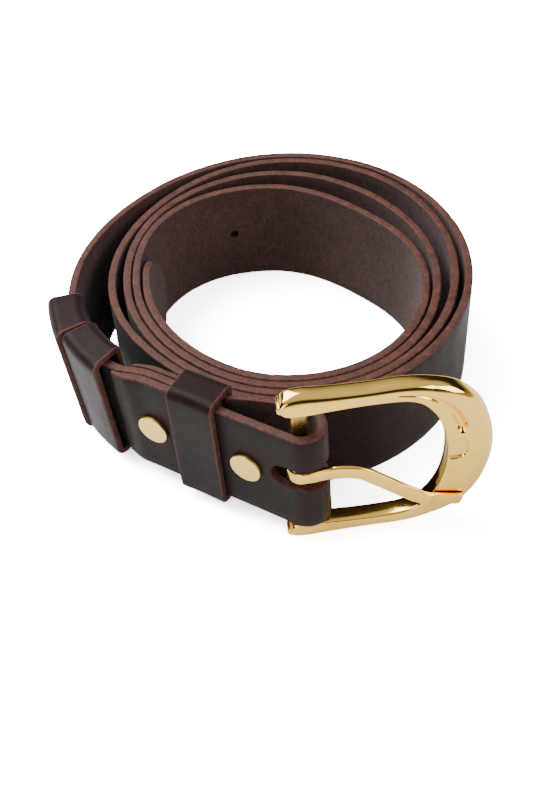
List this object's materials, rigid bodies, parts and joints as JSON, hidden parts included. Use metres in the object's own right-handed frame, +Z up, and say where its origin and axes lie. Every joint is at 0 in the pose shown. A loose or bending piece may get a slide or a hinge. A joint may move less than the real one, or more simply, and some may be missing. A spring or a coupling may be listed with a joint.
{
  "type": "leather belt",
  "caption": "Leather dress belt rolled up on its edge, with a rounded heel-bar buckle and tongue, leather keepers and flat Chicago screws.",
  "frame": {"origin": "centre of the whole belt's bounding box, on the floor it stands on", "axes": "+Z up across the strap's width; +X from the keepers' side to the buckle's nose side; -Y towards the front, where the buckle is"},
  "size_m": [0.1328, 0.1392, 0.0609],
  "materials": {
    "strap_leather": "dark brown, smooth grain, fuzzy flesh side",
    "chape_leather": "dark brown, smooth grain",
    "keeper_leather": "dark brown, smooth grain",
    "gold_plate": "polished, light gold plate",
    "screw_gold": "satin, light gold",
    "staple_steel": "drawn wire"
  },
  "bodies": {
    "belt": {"strap": "strap_leather", "buckle_chape": "chape_leather", "keeper_fixed": "keeper_leather", "keeper_fixed_staple": "staple_steel", "chicago_1_post": "screw_gold", "chicago_2_post": "screw_gold"},
    "sliding_keeper_near": {"keeper_near": "keeper_leather", "keeper_near_staple": "staple_steel"},
    "sliding_keeper_far": {"keeper_far": "keeper_leather", "keeper_far_staple": "staple_steel"},
    "screw_1": {"chicago_1_screw": "screw_gold"},
    "screw_2": {"chicago_2_screw": "screw_gold"},
    "buckle": {"buckle_frame": "gold_plate"},
    "tongue": {"buckle_tongue": "gold_plate"}
  },
  "joints": [
    {"name": "buckle_swing", "type": "hinge", "parent": "belt", "child": "buckle", "pos_m": [0.00758, -0.06399, 0.0072], "axis": [-0.0218, 0.0144, 0.9997], "range_deg": [-50, 10]},
    {"name": "tongue_swing", "type": "hinge", "parent": "buckle", "child": "tongue", "pos_m": [0.00758, -0.06399, 0.0072], "axis": [-0.0218, 0.0144, 0.9997], "range_deg": [-55, 0]},
    {"name": "keeper_near_slide", "type": "hinge", "parent": "belt", "child": "sliding_keeper_near", "pos_m": [-0.01839, -0.00259, 0], "axis": [0, 0, 1], "range_deg": [0, 1.6]},
    {"name": "keeper_far_slide", "type": "hinge", "parent": "belt", "child": "sliding_keeper_far", "pos_m": [-0.01839, -0.00259, 0], "axis": [0, 0, 1], "range_deg": [-7, 0]},
    {"name": "screw_1_turn", "type": "hinge", "parent": "belt", "child": "screw_1", "pos_m": [-0.00694, -0.05749, 0.0258], "axis": [-0.5519, -0.8339, 0], "continuous": true},
    {"name": "screw_2_turn", "type": "hinge", "parent": "belt", "child": "screw_2", "pos_m": [-0.03363, -0.03983, 0.02496], "axis": [-0.5519, -0.8339, 0], "continuous": true}
  ]
}
